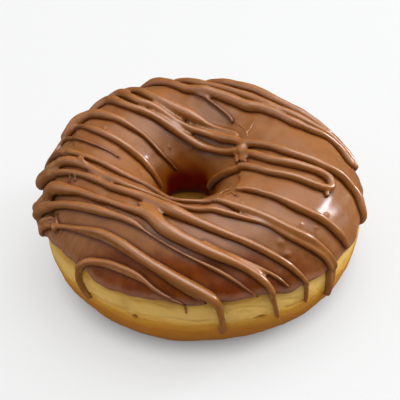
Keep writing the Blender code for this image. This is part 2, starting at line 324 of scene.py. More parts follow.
def ripples(places, size, seed):
    """Smooth unevenness, mostly between -1 and 1, with hills about this many mm apart."""
    chance = np.random.default_rng(seed)
    total = 0
    for _ in range(RIPPLE_COUNT):
        way = chance.normal(size=3)
        way /= np.linalg.norm(way)
        stretch = chance.uniform(0.7, 1.4)
        total = total + np.sin(places @ way * (2 * math.pi / size * stretch) + chance.uniform(0, 7))
    return total / RIPPLE_SUM


def dough_relief(turn, tilt, places):
    """Height of the dough's own relief."""
    band = bump(tilt, *PALE_BAND)
    level_waves = np.sin(np.radians(tilt * 34) + 5 * np.sin(np.radians(turn * 3)))
    relief = 0.10 * ripples(places, 9, 3) + 0.035 * ripples(places, 2.2, 4)
    relief = relief + 0.035 * band * level_waves * ripples(places, 7, 5)
    for line, high, deep in CREASES:
        first, last = line[0][0], line[-1][0]
        wander = along(line, turn) + 0.5 * np.sin(np.radians(turn * 19 + first * 9))
        starts = smooth_step(first, first + CREASE_END, turn)
        ends = starts * (1 - smooth_step(last - CREASE_END, last, turn))
        relief = relief - deep * ends * bump(tilt, wander, high)
    for pit in PITS:
        away, deep = from_spot(turn, tilt, pit), pit[-1]
        relief = relief - deep * bump(away, 0, 1.0) + 0.25 * deep * bump(away, 1.35, 0.6)
    return relief


print(len(CREASES), "creases and", len(PITS), "pits")

# %% Dough mesh
dough_rows = []
for tilt in dough_tilts:
    flat = on_ring(turns, np.full(TURN_COUNT, tilt))
    raised = on_ring(turns, np.full(TURN_COUNT, tilt), dough_relief(turns, tilt, flat))
    dough_rows.append(raised)
dough_rows[0][:, 2] = dough_rows[-1][:, 2] = 0.0  # the underside is flat
dough = ring_object("fried_dough", dough_rows, {
    "tilt": np.repeat(dough_tilts[:, None], TURN_COUNT, 1),
    "pit": sum(bump(from_spot(turns, dough_tilts[:, None], pit), 0, 1.6) for pit in PITS),
})

# %% [markdown]
# ## The glaze
#
# Dipped glaze is about a millimetre thick, level on top and gathered into a rounded lip where it
# stopped running. It could be sculpted, but a displaced grid shows it better, because the lip,
# the drapes just above it and each small bubble can be given their own place. More chocolate was
# poured over it in thin sheets, whose edges show as low steps.

# %% Steps at the edges of thin sheets
# Each sheet: the (turn, tilt) places of its edge; how the edge wanders, as (height in degrees,
# waves in a turn); the turns between which it starts and those between which it ends; the step's
# height in millimetres; half its width; and how far past the edge it begins and stops to fade.
SHEETS = (
    (HOLLOW_EDGE[6:], ((0.8, 23), (0.5, 51)), (276, 284), (345, 356), 0.75, 0.8, (3, 30)),
    (
        ((30, -24), (42, -20.5), (47, -18), (53.5, -16), (59.5, -13.5), (66.5, -10), (75, -5.5),
         (83.5, -1.5)),
        (), (30, 40), (72, 86), 0.5, 1, (4, 18),
    ),
    (
        ((145, 41), (147, 39), (156, 31), (166, 26), (171, 31), (180, 47), (183, 50), (189, 52),
         (194, 56), (199, 56), (203, 60), (208, 64)),
        ((0.8, 37),), (144, 150), (203, 208), -0.55, 0.7, (3, 17),
    ),
)


def sheets(turn, tilt):
    """Height of the sheets over the plain glaze."""
    turn, total = np.mod(turn, 360), 0
    for edge, wander, starts, ends, height, half_width, fades in SHEETS:
        past = tilt - along(edge, turn)
        for high, waves in wander:
            past = past - high * np.sin(np.radians(turn * waves))
        reach = smooth_step(*starts, turn) * (1 - smooth_step(*ends, turn))
        step = height * reach * smooth_step(-half_width, half_width, past)
        total = total + step * (1 - smooth_step(*fades, past))
    return total


print(len(SHEETS), "sheets")

# %% A smooth dent at the back
# Its outer and its inner edge, as (turn, tilt) places.
DENT_OUTER = (
    (42, -22), (46.5, -19.5), (53.5, -16.8), (63, -13), (70, -8.5), (77.5, -5), (86, -2),
)
DENT_INNER = ((42, -25), (51.5, -27), (62, -27.5), (70, -24.5), (77, -18), (86, -7))
DENT_START, DENT_END = (42, 47), (78, 86)  # turns between which it grows and fades
DENT_DEPTH = 0.35
DENT_SOFT = (-0.5, 1.5)  # degrees of tilt over which its edges fade


def dent(turn, tilt):
    """1 in the dent, 0 outside it."""
    turn = np.mod(turn, 360)
    ends = smooth_step(*DENT_START, turn) * (1 - smooth_step(*DENT_END, turn))
    over = smooth_step(*DENT_SOFT, tilt - along(DENT_INNER, turn))
    return ends * over * smooth_step(*DENT_SOFT, along(DENT_OUTER, turn) - tilt)


print("dent from turn", DENT_OUTER[0][0], "to", DENT_OUTER[-1][0])


# %% Height of the glaze
ROUNDED = (3.5, 0.2)  # it rounds off from this far before the rim to this far past it
THIN_SHARE = 0.15  # the share of its height that is left past the rim


def rim_at(turn):
    """Tilt of the glaze's lower edge with its small wavelets."""
    a = np.radians(turn)
    return glaze_edge(turn) + 0.7 * np.sin(23 * a + 1) + 0.45 * np.sin(41 * a + 2 * np.sin(3 * a))


def glaze_level(turn, tilt):
    """Height of the glaze over the dough's skin; it falls almost to the skin past the lip."""
    outside = 1 - smooth_step(rim_at(turn) - ROUNDED[0], rim_at(turn) + ROUNDED[1], tilt)
    inside = smooth_step(HOLE_EDGE - 1, HOLE_EDGE + 4, tilt)
    coat = COAT * (THIN_SHARE + (1 - THIN_SHARE) * outside**0.7 * inside)
    return coat + sheets(turn, tilt) - DENT_DEPTH * dent(turn, tilt)


print("glaze at the crest:", glaze_level(np.array([270.0]), 0).round(2), "mm")

# %% Bubbles, folds, lip and drapes
# Bubbles and blobs: turn, tilt, reach across, reach up, height, in degrees and millimetres.
LUMPS = (
    (303.7, 44.3, 2.1, 3.4, 0.6), (303.7, 54, 2.0, 3.2, 0.55), (314, 39.5, 1.6, 2.6, 0.4),
    (318.5, 48.5, 1.5, 2.4, 0.4), (326, 48, 1.4, 2.4, 0.3), (300.5, 1.5, 1.5, 2.2, 0.35),
    (352.5, 5, 1.5, 2.2, 0.35), (354, -21, 2.0, 2.4, 0.4), (148, 2.5, 1.8, 2.6, 0.5),
    (150.5, -3, 1.6, 2.4, 0.45), (190, -15, 1.8, 2.4, 0.35), (159, -30, 2.2, 2.4, 0.5),
    (109, -49.5, 2.6, 2.4, 0.5), (78.5, -53, 2.8, 2.4, 0.4), (95.5, -32.5, 2.4, 2.6, 0.5),
    (92, -36, 2.2, 2.4, 0.4), (99, -29.5, 3.2, 3.6, 0.5),
)
UPRIGHT_FOLDS = ((211, 1.6), (214.5, 1.3), (218.5, 1.8), (223, 1.5), (203, 1.6))  # turn, reach
FOLD_HEIGHT, FOLD_TILT, FOLD_REACH = 0.45, 62, 16
LIP_MIDDLE, LIP_REACH, LIP_HEIGHT = 4, 4.5, 0.12  # the middle is in degrees above the rim
DRAPES_START, DRAPE_HEIGHT = (26, 8), 0.11  # degrees above the rim over which they begin


def glaze_relief(turn, tilt, places):
    """Relief on the glaze; the drapes are the low folds just above the lip."""
    rim = rim_at(turn)
    lip = bump(tilt, rim - LIP_MIDDLE, LIP_REACH)
    drapes = smooth_step(rim - DRAPES_START[0], rim - DRAPES_START[1], tilt)
    drapes = drapes * (1 - smooth_step(rim - LIP_MIDDLE, rim, tilt))
    a = np.radians(turn)
    folds = np.sin(31 * a + 2.5 * np.sin(5 * a)) + 0.6 * np.sin(53 * a + 1.7)
    relief = 0.16 * ripples(places, 13, 11) + 0.05 * ripples(places, 5, 12)
    relief = relief + LIP_HEIGHT * lip + DRAPE_HEIGHT * drapes * folds
    for at_turn, wide in UPRIGHT_FOLDS:
        tall = FOLD_HEIGHT * bump(turn, at_turn, wide)
        relief = relief + tall * bump(tilt, FOLD_TILT, FOLD_REACH)
    for lump in LUMPS:
        relief = relief + lump[-1] * bump(from_spot(turn, tilt, lump), 0, 1.0)
    return relief


print(len(LUMPS), "bubbles and", len(UPRIGHT_FOLDS), "upright folds")

# %% Rows of the glaze
TOP_ROWS, UNDER_ROWS = 126, 14
UNDER = -0.25  # the glaze's own underside lies just inside the dough, out of sight
UNDER_INSET = 1.5  # degrees that it stays short of both edges
RIM_SHARE = 0.985  # from this share of the way on, the outer skin bends down to the rim
RIM_ABOVE = 0.1  # height of the rim itself
rim = rim_at(turns)
glaze_rows, from_rim = [], []
for share in np.linspace(0, 1, TOP_ROWS):
    tilt = HOLE_EDGE + (rim - HOLE_EDGE) * share
    flat = on_ring(turns, tilt)
    above = glaze_level(turns, tilt) + glaze_relief(turns, tilt, flat) * smooth_step(0, 0.03, share)
    at_rim = smooth_step(RIM_SHARE, 1, share)
    glaze_rows.append(on_ring(turns, tilt, above * (1 - at_rim) + RIM_ABOVE * at_rim))
    from_rim.append(rim - tilt)
for share in np.linspace(1, 0, UNDER_ROWS):
    tilt = HOLE_EDGE + UNDER_INSET + (rim - HOLE_EDGE - 2 * UNDER_INSET) * share
    glaze_rows.append(on_ring(turns, tilt, UNDER))
    from_rim.append(rim - tilt)
from_rim = np.array(from_rim)  # degrees of tilt
print(len(glaze_rows), "rows of", TURN_COUNT, "points")

# %% [markdown]
# ## Where the glaze changes colour and where shade is painted
#
# The glaze is dark at the front, orange on the wall of the hole and red further down. The dark
# front is partly the glaze's own deeper colour and partly painted shade; the orange and the red in
# the hole are painted shade. The borders could be painted by hand. Here each one is a line over the
# turn, and how far a point lies past it is stored in the mesh for the finish.

# %% Masks and mesh of the glaze
# How dark the front is, partly the glaze's own colour and partly painted shade: turn, strength.
FRONT_TONE_SHADE_REACH = (
    (205, 0), (228, 0.5), (240, 0.9), (262, 1), (280, 1), (290, 0.8), (300, 0.6), (315, 0.45),
    (335, 0),
)
# Where painted shade on the wall of the hole turns orange, and where it turns red: turn, tilt.
HOLE_SHADE_EDGE = (
    (0, -52), (13, -61), (23, -57), (62, -56), (80, -53), (94, -49), (107, -50), (124, -55),
    (150, -60), (200, -50), (250, -40), (300, -45), (359, -52),
)
DEEP_SHADE_EDGE = (
    (0, -88), (20, -86), (26, -82), (31, -77.5), (35, -72.5), (41, -69), (50, -67.5),
    (110, -67.5), (121, -68), (131, -69.5), (137, -74), (139, -80), (150, -86), (359, -88),
)
glaze_turns = np.broadcast_to(turns, np.shape(from_rim))
glaze_tilts = rim_at(glaze_turns) - from_rim
glaze = ring_object("chocolate_glaze", glaze_rows, {
    "from_rim": from_rim,
    # front: partly the glaze's own deeper colour, partly painted shade
    "front": along(FRONT_TONE_SHADE_REACH, glaze_turns) * smooth_step(54, 20, from_rim),
    # warm and deep: painted shade down in the hole
    "warm": smooth_step(0, 13, along(HOLE_SHADE_EDGE, glaze_turns) - glaze_tilts),
    "deep": smooth_step(-6, 9, along(DEEP_SHADE_EDGE, glaze_turns) - glaze_tilts),
    # dent: painted shade in the dent
    "dent": dent(glaze_turns, glaze_tilts),
})

# %% [markdown]
# ## The drizzle
#
# Each strand is a half-round rope of chocolate that was still warm when it fell, so strands sink
# into one another where they cross or lie side by side. Curves with a bevel would float over the
# ring or cut into it. Sweeping a section along each path gives exact widths and keeps every
# strand on the glaze.

# %% The strands
# Each strand runs through (turn, tilt) places and has widths in millimetres, spread evenly.
STRANDS = {
    "back_thick": (
        ((112, 88), (101, 40), (88, 9), (70, 0), (44, -1.5), (34.5, 3), (17.5, 12), (12, 19),
         (9, 28), (7.5, 40), (5, 54), (0, 66)),
        (1.8, 2.8, 2.4, 3.2, 3.2, 3.0, 2.5, 2.3, 2.2, 2.1, 2.1, 1.8),
    ),
    "back_second": (
        ((97, 62), (84, 27), (66, 13), (48, 11), (30, 14), (16, 28), (11, 48), (7, 62), (2, 73)),
        (1.8, 2.1, 2.0, 2.3, 2.3, 2.3, 2.3, 2.5, 1.6),
    ),
    "back_edge": (
        ((84, 62), (72, 38), (62, 30), (50, 27), (38, 26), (25, 34), (17, 50), (13, 70)),
        (2.0, 2.6, 2.4, 2.0),
    ),
    "thread": (
        ((83, 1.5), (78, -2.5), (72, -6), (67.5, -9), (63, -11.5), (57.5, -14), (52, -16),
         (45, -18.5), (40, -22)),
        (0.5, 0.8, 0.9, 0.9, 0.9, 0.9, 0.9, 0.8, 0.5),
    ),
    "blunt": (
        ((129, 86), (121, 50), (114.5, 34.5), (112, 22), (108, 2.5), (103.5, -7), (97.5, -14.5),
         (90, -20.5), (82, -24.5), (74, -28), (67, -30), (62, -31), (55, -31.5), (45.5, -31),
         (34.5, -29), (23, -27.5)),
        (1.8, 2.0, 2.0, 1.9, 2.3, 2.8, 3.0, 3.3, 3.4, 3.0, 2.4, 1.7, 1.3, 1.2, 1.3, 0.9),
    ),
    "crease_bright": (
        ((37, -20.5), (31.5, -20), (26, -20.5), (20.5, -22), (13, -23.5)),
        (0.4, 0.5, 0.5, 0.5, 0.3),
    ),
    "crease_faint": (((20.5, -21.5), (22, -17.5), (25, -13), (26.5, -7.5)), (0.3, 0.4, 0.4, 0.2)),
    "ragged_edge": (
        ((305.5, -19.5), (304, -22.5), (302, -25), (299, -26), (295.5, -23), (291.5, -16)),
        (0.3, 0.5, 0.6, 0.6, 0.5, 0.3),
    ),
    "ragged_line": (((299, -17), (300, -13), (300, -9.5), (300.5, -3)), (0.3, 0.4, 0.4, 0.3)),
    "bubble_web": (((102, -29.5), (98, -32.5), (94, -35), (90, -38)), (1.3, 1.6, 1.4, 1.2)),
    "fin": (((180, 14), (184, 12.5), (187, 11), (190, 10)), (0.6, 0.8, 0.8, 0.5)),
    "long_middle": (
        ((137, 82), (126, 50), (118, 34), (118, 12), (116.5, -0.5), (111.5, -8.5), (106.5, -16),
         (99, -25.5), (91.5, -31), (80.5, -36), (69.5, -38), (54.5, -38.5), (37.5, -37),
         (20, -32), (6, -25), (-10, 0), (-14, 25), (-13.5, 40), (-13.5, 51), (-15, 64), (-18, 74),
         (-20, 84)),
        (1.8, 2.2, 2.8, 2.2, 2.4, 2.2, 2.1, 2.0, 1.8, 2.0, 2.1, 2.3, 2.6, 2.3, 2.1, 2.2, 2.4, 2.3,
         2.2, 2.3, 2.3, 2.0),
    ),
    "inner_back": (
        ((139, 80), (130, 52), (124.5, 36.5), (124.5, 24.5), (125, 9), (123.5, -1.5), (120, -10),
         (111.5, -22.5), (100.5, -34), (89, -41.5), (74.5, -47), (58.5, -49.5), (41, -48.5),
         (24.5, -45.5), (12, -40), (2, -31)),
        (1.8, 2.4, 2.9, 2.5, 2.4, 2.2, 2.2, 2.4, 2.3, 2.4, 2.5, 2.4, 2.2, 2.1, 2.1, 2.2),
    ),
    "hairpin": (
        ((6, -36), (-10, -24), (-19, -9), (-20, 12), (-19, 30), (-20, 38), (-24, 39), (-27, 29),
         (-29, 12), (-31, -8), (-28, -25), (-23, -42), (-8, -58), (10, -69), (22, -80)),
        (2.2, 2.2, 2.4, 2.5, 2.4, 2.3, 2.3, 2.2, 2.1, 2.0, 2.1, 2.3, 2.2, 2.2, 1.8),
    ),
    "right_short": (
        ((303, -12), (309.5, -3.5), (314, 11), (318, 30.5), (322.5, 48.5), (325, 65.5),
         (325.5, 79)),
        (1.0, 1.4, 1.7, 2.3, 2.5, 2.4, 1.6),
    ),
    "hole_front": (
        ((160, 76), (160, 60), (165, 40), (177, 13), (194, -11), (216, -24), (240, -26), (262, -14),
         (284, -8), (299, 12), (308, 37), (315, 59), (318, 84), (315, 106)),
        (1.4, 1.7, 1.9, 1.6, 1.6, 1.3, 1.3, 1.0, 1.5, 2.3, 2.5, 2.0, 1.5, 1.8),
    ),
    "front_upper": (
        ((169, 78), (169, 73), (169, 66), (172, 53), (174.5, 36.5), (179.5, 23), (187.5, 11.5),
         (198.5, 1.5), (210.5, -5), (223, -10), (246, -15), (268, -3), (286, 6), (299, 22),
         (307, 43.5), (315, 70), (316, 103)),
        (2.4, 3.0, 3.1, 2.9, 2.8, 2.7, 2.4, 2.1, 1.8, 1.5, 1.1, 1.3, 1.7, 1.3, 1.3, 1.4, 1.4),
    ),
    "front_middle": (
        ((170, 77), (170, 71), (171.5, 64), (175.5, 51), (184, 31.5), (191, 20), (200.5, 9.5),
         (213, 2.5), (240, -6), (261, 3), (277, 16), (291, 34), (301, 57), (306, 80), (306, 98)),
        (2.0, 2.6, 2.7, 2.4, 1.9, 1.9, 1.8, 1.7, 2.4, 3.4, 2.5, 2.0, 1.8, 1.2, 0.7),
    ),
    "front_broad": (
        ((179, 94), (181, 80), (185, 68), (187, 55), (188.5, 46), (193, 38.5), (199.5, 30.5),
         (205.5, 24), (219, 16), (227.5, 12.5), (247, 10), (260, 21), (273, 33), (286, 49),
         (293, 67), (295, 88), (296, 100)),
        (2.2, 2.8, 3.0, 3.4, 4.2, 3.6, 2.7, 2.2, 2.0, 1.7, 2.7, 3.9, 3.3, 2.5, 2.0, 1.3, 1.1),
    ),
    "broad_root": (((240, 1), (250, 6), (259, 16)), (1.1, 2.2, 2.7)),
    "broad_branch": (((275, 28), (287, 45), (296, 63), (300, 76)), (0.9, 1.0, 1.0, 0.8)),
    "front_thin": (
        ((187, 96), (184, 84), (189, 67), (202, 43), (220, 26), (240, 20), (254, 27), (270, 41),
         (281, 55), (290, 76)),
        (2.0, 3.3, 2.7, 2.3, 2.5, 1.9, 0.8, 0.9, 1.1, 0.7),
    ),
    "front_long": (
        ((194, 84), (198, 70), (211, 53), (228, 39), (242, 39), (257, 49), (268, 60), (276, 72),
         (278, 90), (278, 104)),
        (1.6, 1.6, 1.4, 2.0, 2.5, 2.8, 3.0, 2.8, 1.9, 2.7),
    ),
    "left_loop": (
        ((229, 97.5), (225.5, 92), (223.5, 85), (224, 75), (228, 64), (234, 58.5), (240, 56),
         (250, 57.5), (258, 66.5), (263, 71)),
        (0.9, 1.4, 1.7, 1.9, 2.0, 1.7, 1.4, 1.3, 0.9, 0.6),
    ),
    "left_stub": (((199, 60), (195, 68), (193, 75), (197, 80)), (1.2, 1.8, 2.0, 1.8)),
    "left_ridge": (((200.5, 54), (203.5, 55.5), (206, 57), (208, 58)), (0.4, 0.7, 0.8, 0.5)),
    "left_fill": (((200, 58), (204, 61), (207, 62)), (1.6, 1.9, 1.4)),
    "rib_first": (((188.5, 29.5), (192.5, 30)), (0.6, 0.5)),
    "rib_second": (((191, 24), (194.5, 25)), (0.6, 0.5)),
    "left_arch": (
        ((147.5, 62), (146, 52), (141.5, 43), (138.5, 30), (138.5, 16.5), (138.5, 5.5), (138, -4),
         (136.5, -20), (134, -30), (130.5, -43), (124.5, -53.5), (116.5, -61), (105, -70)),
        (2.4, 3.0, 3.8, 3.0, 2.6, 2.4, 2.0, 1.6, 1.2, 1.0, 0.9, 0.8, 0.5),
    ),
    "left_to_hole": (
        ((152, 64), (147, 52), (145.5, 44), (147.5, 30.5), (152, 14), (154.5, 5.5), (158, -8.5),
         (161.5, -27), (166, -51), (170, -73)),
        (1.2, 1.2, 1.2, 1.2, 1.6, 2.0, 2.1, 2.3, 2.0, 1.4),
    ),
    "left_low": (
        ((157, 70), (156, 60), (151.5, 55), (153.5, 39.5), (163.5, 13.5), (168, 2.5),
         (174.5, -13.5), (179, -23)),
        (1.2, 1.2, 1.1, 1.0, 0.8, 0.7, 0.5, 0.3),
    ),
    "under_long": (
        ((213.5, 53), (222, 47), (230, 43.5), (237, 43), (243.5, 44.5), (250.5, 48.5), (256.5, 53),
         (262, 59), (267, 65.5), (272, 72), (274, 77)),
        (0.3, 0.6, 0.7, 0.7, 0.7, 0.7, 0.7, 0.7, 0.7, 0.6, 0.3),
    ),
    "under_loop": (
        ((228, 68), (229.5, 65), (235, 61), (241.5, 59.6), (248, 60.4), (253.5, 62.6), (256, 66),
         (258.5, 69)),
        (0.5, 0.7, 0.8, 0.9, 0.9, 0.8, 0.7, 0.4),
    ),
    "loop_end": (
        ((258, 68.4), (262, 71.7), (266, 74.5), (266.8, 81), (267, 86)),
        (0.7, 0.7, 0.7, 0.6, 0.8),
    ),
    "bead": (((333, 38), (332.5, 42)), (1.5, 1.5)),
    "knot": (((9, -29), (3, -31), (-3, -33)), (2.2, 2.9, 2.2)),
    "bridge": (((6.5, -37.5), (-2, -38), (-12, -37)), (1.2, 1.0, 1.3)),
    "bridge_middle": (((1.5, -33.5), (-8, -33), (-18.5, -30.5)), (1.3, 1.1, 1.3)),
    "bridge_outer": (((-5, -30.5), (-16.5, -28.5), (-21.5, -27)), (1.1, 0.9, 1.1)),
    "drip_knob": (((277.6, 97), (279.4, 98.5)), (1.4, 1.0)),
}
# These lie higher over the glaze, in millimetres, as bubbles or another strand are under them.
LIFTED = {"fin": 1.8, "bubble_web": 0.4, "left_ridge": 0.3}
print(len(STRANDS), "strands, ridges and fine folds")

# %% Line and width of a strand
STEP = 0.5  # millimetres between two sections
PER_SPAN = 40  # points of the curve from one given place to the next


def spline(points):
    """Catmull-Rom curve through the points, in even steps of each span."""
    points = np.asarray(points, float)
    if points.ndim == 1:
        points = points[:, None]
    padded = np.vstack([2 * points[0] - points[1], points, 2 * points[-1] - points[-2]])
    t = np.linspace(0, 1, PER_SPAN, endpoint=False)[:, None]
    spans = []
    for a, b, c, d in zip(padded, padded[1:], padded[2:], padded[3:]):
        spans.append(
            0.5 * (2 * b + (c - a) * t + (2 * a - 5 * b + 4 * c - d) * t**2
                   + (3 * b - a - 3 * c + d) * t**3)
        )
    return np.vstack(spans + [points[-1:]])


def strand_line(places, widths):
    """Turn, tilt, width and distance from the start, at even steps along a strand."""
    fine = spline(places)
    width_curve = spline(widths)[:, 0]
    share = np.linspace(0, len(width_curve) - 1, len(fine))
    width = np.interp(share, np.arange(len(width_curve)), width_curve)
    skin = on_ring(fine[:, 0], fine[:, 1])
    length = np.concatenate([[0], np.cumsum(np.linalg.norm(np.diff(skin, axis=0), axis=1))])
    at = np.linspace(0, length[-1], max(int(length[-1] / STEP), 6) + 1)
    return [np.interp(at, length, values) for values in (fine[:, 0], fine[:, 1], width)] + [at]


print("longest strand:", round(max(strand_line(*row)[3][-1] for row in STRANDS.values())), "mm")

# %% Sections of a strand
SECTION_POINTS = 24
STRAND_RISE = (0.35, 0.72)  # height over the glaze: this much, and this share of the width
BURIED = 0.7  # depth of its foot in the glaze
FOOT = 0.2  # share of the height at which it is widest
ROUNDNESS = 0.9  # under 1, the section is a little boxy
END_LENGTH = 0.55  # of the width, over which an end is rounded


def strand_rings(places, widths, seed, lifted):
    """Rings of places round a strand, in millimetres."""
    turn, tilt, width, at = strand_line(places, widths)
    level = glaze_level(turn, tilt) + lifted
    feet, over = on_ring(turn, tilt, level), on_ring(turn, tilt, level + 1.0)
    way = np.gradient(feet, axis=0)
    way /= np.linalg.norm(way, axis=1, keepdims=True)
    up = over - feet
    up -= way * (up * way).sum(1, keepdims=True)
    up /= np.linalg.norm(up, axis=1, keepdims=True)
    side = np.cross(up, way)
    width = width * (1 + 0.045 * ripples(feet, 8, seed) + 0.012 * ripples(feet, 3, seed + 1))
    to_end = np.minimum(at, at[-1] - at)
    short = 1 - np.clip(to_end / (END_LENGTH * width), 0, 1)
    round_end = np.sqrt(np.clip(1 - short**2, 0.02, 1))
    height = ((STRAND_RISE[0] + STRAND_RISE[1] * width) * round_end)[:, None]
    half = width / 2 * round_end
    angles = np.linspace(0, 2 * math.pi, SECTION_POINTS, endpoint=False)
    c, s = np.cos(angles), np.sin(angles)
    over_foot = FOOT * height + (1 - FOOT) * height * np.abs(s) ** ROUNDNESS
    under_foot = FOOT * height - (FOOT * height + BURIED) * np.abs(s)
    lift = np.where(s[None] >= 0, over_foot, under_foot)
    across = half[:, None] * np.sign(c) * np.abs(c) ** ROUNDNESS
    return feet[:, None] + side[:, None] * across[..., None] + up[:, None] * lift[..., None]


print("sections of", SECTION_POINTS, "points")


# %% All strands as loose tubes
FIRST_SEED = 100  # every strand has two seeds of its own


def drizzle_mesh():
    skin = bmesh.new()
    for number, (name, (places, widths)) in enumerate(STRANDS.items()):
        rings = strand_rings(places, widths, FIRST_SEED + 2 * number, LIFTED.get(name, 0.0))
        rings = [[skin.verts.new(Vector(p) * MM) for p in ring] for ring in rings]
        for first, second in zip(rings, rings[1:]):
            for i in range(len(first)):
                j = (i + 1) % len(first)
                skin.faces.new((first[i], first[j], second[j], second[i]))
        skin.faces.new(rings[0])
        skin.faces.new(rings[-1][::-1])
    bmesh.ops.recalc_face_normals(skin, faces=skin.faces)
    data = bpy.data.meshes.new("chocolate_drizzle")
    skin.to_mesh(data)
    skin.free()
    return data


drizzle = bpy.data.objects.new("chocolate_drizzle", drizzle_mesh())
bpy.context.scene.collection.objects.link(drizzle)
print("tubes have", len(drizzle.data.polygons), "faces")

# %% [markdown]
# ## Melting the strands together
#
# A plain join of meshes leaves sharp seams where strands cross, and a Boolean union would too. A
# voxel remesh makes one even skin of them all. Growing that skin a little, remeshing it again
# and shrinking it back fills the narrow clefts, as warm chocolate does.


# %% Helpers that change a mesh
def applied(piece):
    """Applies the piece's modifiers to its mesh."""
    bpy.context.view_layer.update()
    evaluated = piece.evaluated_get(bpy.context.evaluated_depsgraph_get())
    data = bpy.data.meshes.new_from_object(evaluated)
    piece.modifiers.clear()
    piece.data = data


def melted(piece, voxel):
    """Gives the piece one even skin of voxels this size, in millimetres."""
    melt = piece.modifiers.new("melt", "REMESH")
    melt.mode, melt.voxel_size, melt.adaptivity = "VOXEL", voxel * MM, 0
    applied(piece)


def thinned(piece, triangles):
    """Merges the flattest faces until this many triangles are left."""
    spare = piece.modifiers.new("thin", "DECIMATE")
    spare.ratio = min(1.0, triangles / (2 * len(piece.data.polygons)))
    applied(piece)


def grown(piece, by):
    """Moves every point along its normal, in millimetres."""
    data = piece.data
    places = np.empty(len(data.vertices) * 3, np.float32)
    normals = np.empty_like(places)
    data.vertices.foreach_get("co", places)
    data.vertices.foreach_get("normal", normals)
    data.vertices.foreach_set("co", places + normals * by * MM)
    data.update()


def smoothed(piece):
    """Moves every point halfway to the middle of its neighbours."""
    skin = bmesh.new()
    skin.from_mesh(piece.data)
    bmesh.ops.smooth_vert(skin, verts=skin.verts, factor=0.5,
                          use_axis_x=True, use_axis_y=True, use_axis_z=True)
    skin.to_mesh(piece.data)
    skin.free()


def crumbs_removed(piece, fewest):
    """Takes away loose bits that have fewer points than this."""
    skin = bmesh.new()
    skin.from_mesh(piece.data)
    left, crumbs = set(skin.verts), []
    while left:
        bit = [left.pop()]
        for vert in bit:  # the list grows while it is read
            for edge in vert.link_edges:
                other = edge.other_vert(vert)
                if other in left:
                    left.remove(other)
                    bit.append(other)
        if len(bit) < fewest:
            crumbs += bit
    bmesh.ops.delete(skin, geom=crumbs, context="VERTS")
    skin.to_mesh(piece.data)
    skin.free()
    print("crumbs removed:", len(crumbs), "points")


# %% Melt the drizzle
VOXEL = 0.34
CLEFT = 0.12  # clefts narrower than twice this fill up
DRIZZLE_TRIANGLES = 190000
FEWEST_POINTS = 60  # of a bit that is not a crumb
melted(drizzle, VOXEL)
grown(drizzle, CLEFT)
melted(drizzle, VOXEL)
grown(drizzle, -CLEFT)
smoothed(drizzle)
thinned(drizzle, DRIZZLE_TRIANGLES)
crumbs_removed(drizzle, FEWEST_POINTS)
drizzle.data.shade_smooth()
drizzle.data.calc_loop_triangles()
print("drizzle has", len(drizzle.data.loop_triangles), "triangles")

# %% [markdown]
# ## Painted shade in the creases
#
# Chocolate is darker where a strand meets the glaze, because light hardly gets in there. The
# renderer finds part of that by itself. The rest is painted shade: a mask on both pieces, from the
# distance to the other one, so it follows every strand. The fine folds are left out, because they
# are paler than what lies round them.

# %% Masks of painted shade in the creases
FINE_FOLDS = on_ring([24, 302], [-17, -20], COAT)
FOLDS_REACH = (4.0, 5.5)
ON_STRAND = (0.1, 1.2)  # heights over the glaze between which a strand's crease fades
ON_GLAZE = (0.0, 1.1)  # distances from the strands, on the glaze
FAR = 2.0  # nothing is looked for beyond this


def skin_of(piece):
    data = piece.data
    return BVHTree.FromPolygons([v.co for v in data.vertices], [p.vertices for p in data.polygons])


def off_folds(piece):
    """0 at the fine folds, 1 away from them."""
    away = [min((v.co / MM - Vector(place)).length for place in FINE_FOLDS)
            for v in piece.data.vertices]
    return smooth_step(*FOLDS_REACH, away)


glaze_skin, drizzle_skin = skin_of(glaze), skin_of(drizzle)
heights = np.array([glaze_skin.find_nearest(v.co)[3] for v in drizzle.data.vertices]) / MM
mark(drizzle, "crease", (1 - smooth_step(*ON_STRAND, heights)) * off_folds(drizzle))
reaches = [drizzle_skin.find_nearest(v.co, FAR * MM)[3] for v in glaze.data.vertices]
reaches = np.array([FAR if reach is None else reach / MM for reach in reaches])
mark(glaze, "crease", (1 - smooth_step(*ON_GLAZE, reaches)) * off_folds(glaze))
print("points of the glaze beside a strand:", int((reaches < ON_GLAZE[1]).sum()))

# %% [markdown]
# ## Which solid each piece stands for
#
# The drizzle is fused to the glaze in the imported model, so both replace the same solid. Nothing
# moves, and every piece rides on the root.

# %% Tell the frame
for piece, node in ((dough, "dough"), (glaze, "icing"), (drizzle, "icing")):
    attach(piece, "root")
    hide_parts(node)
    print(piece.name, "stands for", node)

# %% [markdown]
# ## Finishes
#
# Node trees are easier to read as sums. The class below wraps a socket, so that `1 - mask * 0.5`
# adds the Math nodes that it needs. Every other node comes from one method, `node`.


# %% A socket that can stand in a sum
class Wire:
    def __init__(self, recipe, socket):
        self.recipe, self.socket = recipe, socket

    def math(self, operation, first, second):
        return self.recipe.node("ShaderNodeMath", {"operation": operation}, (first, second))

    def __add__(self, other):
        return self.math("ADD", self, other)

    def __radd__(self, other):
        return self.math("ADD", other, self)

    def __sub__(self, other):
        return self.math("SUBTRACT", self, other)

    def __rsub__(self, other):
        return self.math("SUBTRACT", other, self)

    def __mul__(self, other):
        return self.math("MULTIPLY", self, other)

    def __rmul__(self, other):
        return self.math("MULTIPLY", other, self)

    def between(self, low, high):
        """0 under low, 1 over high, smooth between."""
        return self.recipe.node(
            "ShaderNodeMapRange", {"interpolation_type": "SMOOTHSTEP"},
            {"Value": self, "From Min": low, "From Max": high}, "Result",
        )


